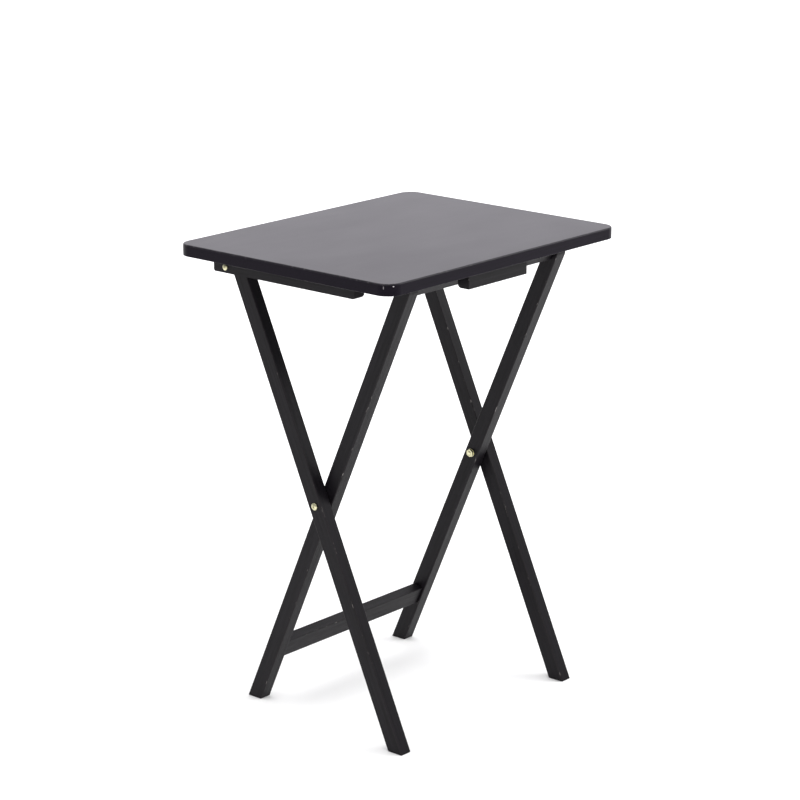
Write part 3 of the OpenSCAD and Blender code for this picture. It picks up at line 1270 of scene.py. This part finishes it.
@dataclass
class DowelJoint:
    """Fluted dowels that join a rail to the inner legs, all in one CAD node.

    Args:
        node: CAD node that holds them all.
        places: for each pair of dowels, distance across and along the inner legs from the cross bolts.
    """

    node: str
    places: Sequence[Point2]
    rail_half: float
    body: str = "inner_frame"
    radius: float = 4.0 * MM
    in_leg: float = 12 * MM
    in_rail: float = 20 * MM
    play: float = 0.5 * MM
    bore_r: float = 4.05 * MM
    flutes: int = 16
    flute_depth: float = 0.35 * MM

    def centres(self, layout: Layout) -> list[Vector]:
        """Middle of each dowel."""
        middle = self.rail_half + (self.in_leg - self.in_rail) / 2
        return [
            layout.on_inner(across, along) + Vector((side.value * middle, 0, 0))
            for across, along in self.places
            for side in Side
        ]

    def bores(self, layout: Layout, low_x: float, high_x: float) -> list[Bore]:
        """Holes for the dowels whose length touches a span of X.

        Args:
            layout: gives the inner legs' lean.
            low_x: lower end of the drilled piece.
            high_x: upper end of the drilled piece.

        Returns:
            The holes.
        """
        half = (self.in_leg + self.in_rail) / 2 + self.play
        made = []
        for centre in self.centres(layout):
            if centre.x - half < high_x and centre.x + half > low_x:
                made.append(bore_along_x(centre, centre.x - half, centre.x + half, self.bore_r))
        return made

    def tree(self, material: bpy.types.Material) -> Tree:
        """Geometry nodes that lay a fluted dowel along X on each point.

        Args:
            material: what the dowels are made of.

        Returns:
            The node tree.
        """
        tree, given = open_tree("fluted_dowels", ["Length", "Radius", "Flute Depth"], "Flutes", "Dowels")
        hollow = combine(tree, "SUBTRACT", given["Radius"], given["Flute Depth"])
        section = add_node(
            tree,
            "GeometryNodeCurveStar",
            {"Points": given["Flutes"], "Outer Radius": given["Radius"], "Inner Radius": hollow},
        ).outputs[0]
        half = combine(tree, "MULTIPLY", given["Length"], 0.5)
        back = combine(tree, "MULTIPLY", half, -1.0)
        start = add_node(tree, "ShaderNodeCombineXYZ", {"X": back}).outputs[0]
        end = add_node(tree, "ShaderNodeCombineXYZ", {"X": half}).outputs[0]
        line = add_node(tree, "GeometryNodeCurvePrimitiveLine", {"Start": start, "End": end}).outputs[0]
        sweep = {"Curve": line, "Profile Curve": section, "Fill Caps": True}
        rod = add_node(tree, "GeometryNodeCurveToMesh", sweep)
        close_tree(tree, {"Points": given["Points"], "Instance": rod.outputs[0]}, material)
        return tree

    def build(self, layout: Layout, finish: Finish) -> None:
        """Lays the dowels in their holes.

        Args:
            layout: gives the inner legs' lean.
            finish: finish of the dowels.
        """
        points = bpy.data.meshes.new(self.node)
        points.from_pydata(self.centres(layout), [], [])
        piece = link_object(f"{self.node}_fluted", points)
        values = {
            "Length": self.in_leg + self.in_rail,
            "Radius": self.radius,
            "Flute Depth": self.flute_depth,
            "Flutes": self.flutes,
        }
        run_tree(piece, self.tree(finish.material()), values)
        hand_over(piece, finish, self.body, self.node)


@dataclass
class LegFrames:
    """Both leg frames: outer legs, inner legs, upper rail, lower stretcher and their dowels."""

    layout: Layout
    leg_width: float
    cross_bore_r: float = 3.05 * MM
    pivot_bore_r: float = 2.55 * MM
    nut_recess_r: float = 5.5 * MM
    nut_recess_h: float = 5.5 * MM
    rail_t: float = 15 * MM
    rail_h: float = 20.5 * MM
    stretcher_h: float = 28 * MM
    dowel_step: float = 14 * MM
    ease: float = 1.0 * MM

    @property
    def rail_half(self) -> float:
        """Half the clear distance between the inner legs."""
        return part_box("upper_rail")[1].x

    @property
    def rail_across(self) -> float:
        """How far the rail's middle lies across the inner legs, so that it is flush with their rear faces."""
        return (self.leg_width - self.rail_t) / 2

    @property
    def rail_round_along(self) -> float:
        """How far up the inner legs the centre of the rail's round top lies."""
        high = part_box("upper_rail")[1]
        turn = self.layout.inner_turn
        rise = high.z - self.rail_t / 2 - self.layout.cross.z - self.rail_across * math.sin(turn)
        return rise / math.cos(turn)

    @property
    def stretcher_along(self) -> float:
        """How far up the inner legs the middle of the stretcher lies; it is below the cross, so negative."""
        low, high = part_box("lower_stretcher")
        return ((low.z + high.z) / 2 - self.layout.cross.z) / math.cos(self.layout.inner_turn)

    def joints(self) -> tuple[DowelJoint, DowelJoint]:
        """The dowels of the rail and of the stretcher."""
        rail_middle = self.rail_round_along + self.rail_t / 2 - self.rail_h / 2
        steps = [(0.0, self.stretcher_along + end * self.dowel_step / 2) for end in (-1, 1)]
        return (
            DowelJoint("rail_dowels", [(self.rail_across, rail_middle)], self.rail_half),
            DowelJoint("stretcher_dowels", steps, self.rail_half),
        )

    def build_outer(self, side: Side) -> None:
        """One outer leg, with the recess for the pivot nut on its inner face."""
        leg = Leg(side, "outer_leg", "outer_frame", self.layout.outer_turn, Grain.OUTER_LEG, self.leg_width)
        low, high = leg.box
        reach = 1 * MM
        inner_x = high.x if side is Side.LEFT else low.x
        bores = [
            bore_along_x(self.layout.cross, low.x - reach, high.x + reach, self.cross_bore_r),
            bore_along_x(self.layout.pivot, low.x - reach, high.x + reach, self.pivot_bore_r),
            bore_along_x(
                self.layout.pivot,
                inner_x - side.value * reach,
                inner_x + side.value * self.nut_recess_h,
                self.nut_recess_r,
            ),
        ]
        leg.build(self.layout, bores)

    def build_inner(self, side: Side, joints: Sequence[DowelJoint]) -> None:
        """One inner leg, drilled for the cross bolt and the dowels.

        Args:
            side: which leg.
            joints: dowels that enter it.
        """
        leg = Leg(side, "inner_leg", "inner_frame", self.layout.inner_turn, Grain.INNER_LEG, self.leg_width)
        low, high = leg.box
        reach = 1 * MM
        bores = [bore_along_x(self.layout.cross, low.x - reach, high.x + reach, self.cross_bore_r)]
        for joint in joints:
            bores += joint.bores(self.layout, low.x, high.x)
        leg.build(self.layout, bores)

    def build_bar(self, node: str, points: Sequence[Point2], joint: DowelJoint) -> None:
        """A bar between the inner legs, eased and drilled for its dowels.

        Args:
            node: the CAD node that it replaces.
            points: its end view, across and along the inner legs.
            joint: its dowels.
        """
        outline = [self.layout.on_inner(across, along) for across, along in points]
        piece = prism(f"{node}_bar", outline, *along_x(-self.rail_half, self.rail_half))
        ease_arrises(piece, self.ease, joint.bores(self.layout, -self.rail_half, self.rail_half))
        hand_over(piece, Grain.LONG_SIDE.finish(self.layout), "inner_frame", node)

    def build_rail(self, joint: DowelJoint) -> None:
        """The upper rail, with a full round on top that slides under the board."""
        centre = (self.rail_across, self.rail_round_along)
        half = self.rail_t / 2
        foot = self.rail_round_along + half - self.rail_h
        points = arc(centre, half, 0, 180, 24) + [(centre[0] - half, foot), (centre[0] + half, foot)]
        self.build_bar("upper_rail", points, joint)

    def build_stretcher(self, joint: DowelJoint) -> None:
        """The flat stretcher near the feet."""
        half_t = self.rail_t / 2
        half_h = self.stretcher_h / 2
        corners = [(x * half_t, y * half_h) for x, y in QUARTERS]
        points = [(across, self.stretcher_along + along) for across, along in corners]
        self.build_bar("lower_stretcher", points, joint)

    def build(self) -> None:
        """Builds every piece of both frames."""
        joints = self.joints()
        for side in Side:
            self.build_outer(side)
            self.build_inner(side, joints)
        self.build_rail(joints[0])
        self.build_stretcher(joints[1])
        for joint in joints:
            joint.build(self.layout, RawBeech())


# ---------------------------------------------------------------- the hardware


def facing_out(side: Side, seat: Vector) -> Matrix:
    """Place whose own Z points outward along X from a seat."""
    return Matrix.Translation(seat) @ Matrix.Rotation(side.value * math.pi / 2, 4, "Y")


@dataclass
class MachineScrew:
    """A domed machine screw with a cross recess and a threaded end, along X with its head outward."""

    stem: str
    side: Side
    body: str
    shank_d: float
    head_h: float
    pitch: float
    thread_l: float
    rim_share: float = 0.45
    rim_ease: float = 0.25 * MM
    recess_span: float = 0.52
    recess_width: float = 0.13
    recess_depth: float = 0.55
    blade_taper: float = 0.45
    blade_reach: float = 1.3
    thread_share: float = 0.54
    turn: float = 0.3
    dome_steps: int = 10
    thread_steps: int = 8

    def thread(self, start: float, end: float) -> list[RingShape]:
        """Rings of a helical thread between two heights.

        Args:
            start: height of the screw's tip.
            end: height where the thread runs out.

        Returns:
            The rings from the tip upward.
        """
        depth = self.thread_share * self.pitch
        outer = self.shank_d / 2
        count = round((end - start) / self.pitch * self.thread_steps)

        def ring(index: int) -> RingShape:
            """One ring, whose radius follows the helix."""
            height = start + (end - start) * index / count
            lead_in = min(1.0, (height - start) / self.pitch)
            run_out = min(1.0, (end - height) / self.pitch)

            def at(angle: float) -> Point2:
                """Radius and height at an angle."""
                phase = (height / self.pitch - angle / (2 * math.pi)) % 1.0
                groove = depth * (1 - abs(2 * phase - 1)) * run_out
                return outer - max(groove, depth * (1 - lead_in)), height

            return at

        return [ring(i) for i in range(count + 1)]

    def build(self, finish: Finish) -> None:
        """Turns the screw and cuts its recess.

        Args:
            finish: its finish.
        """
        low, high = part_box(self.side.node(self.stem))
        head_r = (high.y - low.y) / 2
        length = high.x - low.x - self.head_h
        outer_x = high.x if self.side is Side.RIGHT else low.x
        seat = Vector((outer_x - self.side.value * self.head_h, (low.y + high.y) / 2, (low.z + high.z) / 2))
        place = facing_out(self.side, seat)
        rim = self.head_h * self.rim_share
        dome_h = self.head_h - rim
        dome_r = (head_r**2 + dome_h**2) / (2 * dome_h)
        rings = self.thread(-length, -length + self.thread_l)
        rings += [circle_ring(self.shank_d / 2, 0.0), circle_ring(head_r - self.rim_ease, 0.0)]
        rings += [circle_ring(head_r, self.rim_ease), circle_ring(head_r, rim)]
        for i in range(1, self.dome_steps + 1):
            radius = head_r * (1 - i / (self.dome_steps + 0.5))
            rings.append(circle_ring(radius, self.head_h - dome_r + math.sqrt(dome_r**2 - radius**2)))
        name = self.side.node(f"{self.stem}_domed")
        piece = turned(name, rings, place)
        cut_away(piece, [self.blade(place, head_r, quarter) for quarter in range(2)])
        smooth(piece, 35)
        hand_over(piece, finish, self.body, self.side.node(self.stem))

    def blade(self, place: Matrix, head_r: float, quarter: int) -> Piece:
        """One of the two tapered blades that cut the cross recess.

        Args:
            place: where the screw's own axes go.
            head_r: radius of the head.
            quarter: which of the two crossed blades.

        Returns:
            The cutter.
        """
        half_l = head_r * self.recess_span
        half_w = head_r * self.recess_width
        floor = self.head_h * (1 - self.recess_depth)
        brim = self.head_h * self.blade_reach
        turn = Matrix.Rotation(self.turn + quarter * math.pi / 2, 4, "Z")
        rings = []
        for height, share in ((floor, self.blade_taper), (brim, 1.0)):
            corners = [(x * half_l * share, y * half_w * share) for x, y in QUARTERS]
            rings.append([place @ turn @ Vector((x, y, height)) for x, y in corners])
        return loft("cutter", rings)


@dataclass
class HexNut:
    """A hexagon nut along X, chamfered on both faces."""

    stem: str
    side: Side
    body: str
    across_flats: float
    bore_d: float
    chamfer: float = 30.0
    face_share: float = 0.97
    lead: float = 0.35 * MM
    facets: int = 72

    def build(self, finish: Finish) -> None:
        """Shapes the nut.

        Args:
            finish: its finish.
        """
        low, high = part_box(self.side.node(self.stem))
        thickness = high.x - low.x
        centre = (low + high) / 2
        apothem = self.across_flats / 2
        face_r = apothem * self.face_share
        bore_r = self.bore_d / 2
        slope = math.tan(math.radians(self.chamfer))
        sixth = math.pi / 3

        def flank(towards: int) -> RingShape:
            """Ring where the flats meet the chamfer of one face."""

            def at(angle: float) -> Point2:
                """Radius and height at an angle."""
                radius = apothem / math.cos((angle % sixth) - sixth / 2)
                return radius, towards * (thickness / 2 - slope * (radius - face_r))

            return at

        half = thickness / 2
        lead = self.lead
        rings = [
            circle_ring(bore_r, half - lead),
            circle_ring(bore_r + lead, half),
            circle_ring(face_r, half),
            flank(1),
            flank(-1),
            circle_ring(face_r, -half),
            circle_ring(bore_r + lead, -half),
            circle_ring(bore_r, -half + lead),
        ]
        name = self.side.node(f"{self.stem}_hexagon")
        piece = turned(name, rings, facing_out(self.side, centre), self.facets, bored=True)
        smooth(piece, 25)
        hand_over(piece, finish, self.body, self.side.node(self.stem))


@dataclass
class FlatRing:
    """A washer or spacer along X with eased rims."""

    stem: str
    side: Side
    body: str
    bore_d: float
    ease: float = 0.2 * MM
    rim_share: float = 0.3

    def build(self, finish: Finish) -> None:
        """Turns the ring.

        Args:
            finish: its finish.
        """
        low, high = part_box(self.side.node(self.stem))
        centre = (low + high) / 2
        outer = (high.z - low.z) / 2
        inner = self.bore_d / 2
        half = (high.x - low.x) / 2
        ease = self.ease
        rim = ease * self.rim_share
        corners = (
            (inner, half - ease),
            (inner + ease, half),
            (outer - ease, half),
            (outer - rim, half - rim),
            (outer, half - ease),
            (outer, ease - half),
            (outer - rim, rim - half),
            (outer - ease, -half),
            (inner + ease, -half),
            (inner, ease - half),
        )
        rings = [circle_ring(radius, height) for radius, height in corners]
        piece = turned(self.side.node(f"{self.stem}_ring"), rings, facing_out(self.side, centre), bored=True)
        smooth(piece, 60)
        hand_over(piece, finish, self.body, self.side.node(self.stem))


@dataclass
class Hardware:
    """Bolts, nuts, washers and spacers of the crosses and of the top pivots."""

    brass: Finish = field(default_factory=PlatedBrass)
    nylon: Finish = field(default_factory=MouldedNylon)
    cross_d: float = 6.0 * MM
    pivot_d: float = 5.0 * MM
    play: float = 0.1 * MM
    thread_cut: float = 0.4 * MM

    def build(self, side: Side) -> None:
        """Builds one side's hardware."""
        sizes = (self.cross_d, 3.2 * MM, 1.0 * MM, 10 * MM)
        MachineScrew("cross_bolt", side, "outer_frame", *sizes, turn=0.35).build(self.brass)
        HexNut("cross_nut", side, "outer_frame", 10 * MM, self.cross_d + self.play).build(self.brass)
        FlatRing("cross_washer", side, "outer_frame", self.cross_d + self.thread_cut).build(self.brass)
        FlatRing("cross_spacer", side, "outer_frame", self.cross_d + self.thread_cut).build(self.nylon)
        sizes = (self.pivot_d, 2.6 * MM, 0.8 * MM, 8 * MM)
        MachineScrew("pivot_bolt", side, "top_pivots", *sizes, turn=0.9).build(self.brass)
        HexNut("pivot_nut", side, "top_pivots", 8 * MM, self.pivot_d + self.play).build(self.brass)
        FlatRing("pivot_spacer", side, "outer_frame", self.pivot_d + self.thread_cut).build(self.nylon)


# ---------------------------------------------------------------- the studio


@dataclass(frozen=True)
class SoftPanel:
    """A rectangular soft light.

    Args:
        name: name of the light.
        place: its centre.
        aim: the point that it faces.
        width: its width.
        height: its height.
        power: its power in watts.
        tint: its colour.
    """

    name: str
    place: Vector
    aim: Vector
    width: float
    height: float
    power: float
    tint: tuple[float, float, float] = (1.0, 1.0, 1.0)

    def build(self) -> None:
        """Hangs the light, unseen by the camera itself."""
        data = bpy.data.lights.new(self.name, "AREA")
        data.color = self.tint
        data.shape = "RECTANGLE"
        data.size = self.width
        data.size_y = self.height
        data.energy = self.power
        lamp = bpy.data.objects.new(self.name, data)
        lamp.location = self.place
        lamp.rotation_euler = (self.aim - self.place).to_track_quat("-Z", "Y").to_euler()
        lamp.visible_camera = False
        bpy.context.scene.collection.objects.link(lamp)


@dataclass
class Studio:
    """A pale floor under soft even light, and the camera."""

    floor_half: float = 30.0
    ambient: float = 0.46
    overhead: float = 3.0
    overhead_angle: float = 95.0
    azimuth: float = -48.965
    elevation: float = 15.806
    distance: float = 3.6834
    lens: float = 118.9
    sensor: float = 36.0
    aim_right: float = -0.00044
    aim_up: float = 0.09196

    def build_floor(self) -> None:
        """Lays a wide flat floor, so that no edge shows."""
        shape = bmesh.new()
        bmesh.ops.create_grid(shape, x_segments=8, y_segments=8, size=self.floor_half)
        floor = from_bmesh("studio_floor", shape)
        floor.data.materials.append(StudioPaint().material())

    def build_light(self) -> None:
        """Even ambient light, a wide overhead source and a tall white panel behind the table."""
        world = bpy.data.worlds.new("studio_ambient")
        world.use_nodes = True
        world.node_tree.nodes["Background"].inputs["Color"].default_value = (1, 1, 1, 1)
        world.node_tree.nodes["Background"].inputs["Strength"].default_value = self.ambient
        bpy.context.scene.world = world
        data = bpy.data.lights.new("overhead", "SUN")
        data.energy = self.overhead
        data.angle = math.radians(self.overhead_angle)
        lamp = bpy.data.objects.new("overhead", data)
        lamp.location = (0, 0, 4)
        bpy.context.scene.collection.objects.link(lamp)
        middle = Vector((0, 0, 0.5))
        SoftPanel("back_panel", Vector((3.4, 3.0, 1.5)), middle, 7.5, 2.8, 82, (0.95, 0.92, 1.0)).build()
        SoftPanel("front_right_panel", Vector((1.65, -1.35, 1.8)), Vector((0, 0, 0.8)), 1.5, 0.9, 24).build()

    def build_camera(self) -> None:
        """Places the camera by its angles about the middle of the table."""
        az = math.radians(self.azimuth)
        el = math.radians(self.elevation)
        back = Vector((math.sin(az) * math.cos(el), -math.cos(az) * math.cos(el), math.sin(el)))
        right = Vector((math.cos(az), math.sin(az), 0))
        up = back.cross(right)
        middle = (CAD_BOX[0] + CAD_BOX[1]) / 2
        aim = Vector((0, 0, middle.z)) + right * self.aim_right + up * self.aim_up
        data = bpy.data.cameras.new("camera")
        data.sensor_width = self.sensor
        data.lens = self.lens
        camera = bpy.data.objects.new("camera", data)
        camera.location = aim + back * self.distance
        camera.rotation_euler = Matrix((right, up, back)).transposed().to_euler()
        bpy.context.scene.collection.objects.link(camera)
        bpy.context.scene.camera = camera

    def build(self) -> None:
        """Sets up floor, light and camera, with display colours left as they are."""
        bpy.context.scene.view_settings.view_transform = "Standard"
        self.build_floor()
        self.build_light()
        self.build_camera()


def main() -> None:
    """Builds the table's sub-assemblies in order, then the studio."""
    logging.basicConfig(level=logging.INFO, format="%(name)s: %(message)s")
    layout = Layout.from_frame(LEG_WIDTH)
    battens = [Batten(side) for side in Side]
    block = CatchBlock()
    batten_screws = ScrewRow("batten_screws", [p for batten in battens for p in batten.screw_places()])
    catch_screws = ScrewRow("catch_screws", block.screw_places())

    TopBoard().build(SprayedLacquer(), [batten_screws, catch_screws])
    for batten in battens:
        batten.build(layout, batten_screws)
    block.build(layout, catch_screws)
    LegFrames(layout, LEG_WIDTH).build()
    hardware = Hardware()
    for side in Side:
        hardware.build(side)
    zinc = ZincPlatedSteel()
    batten_screws.build(zinc, "top")
    catch_screws.build(zinc, "top")
    Studio().build()


if __name__ == "__main__":
    main()
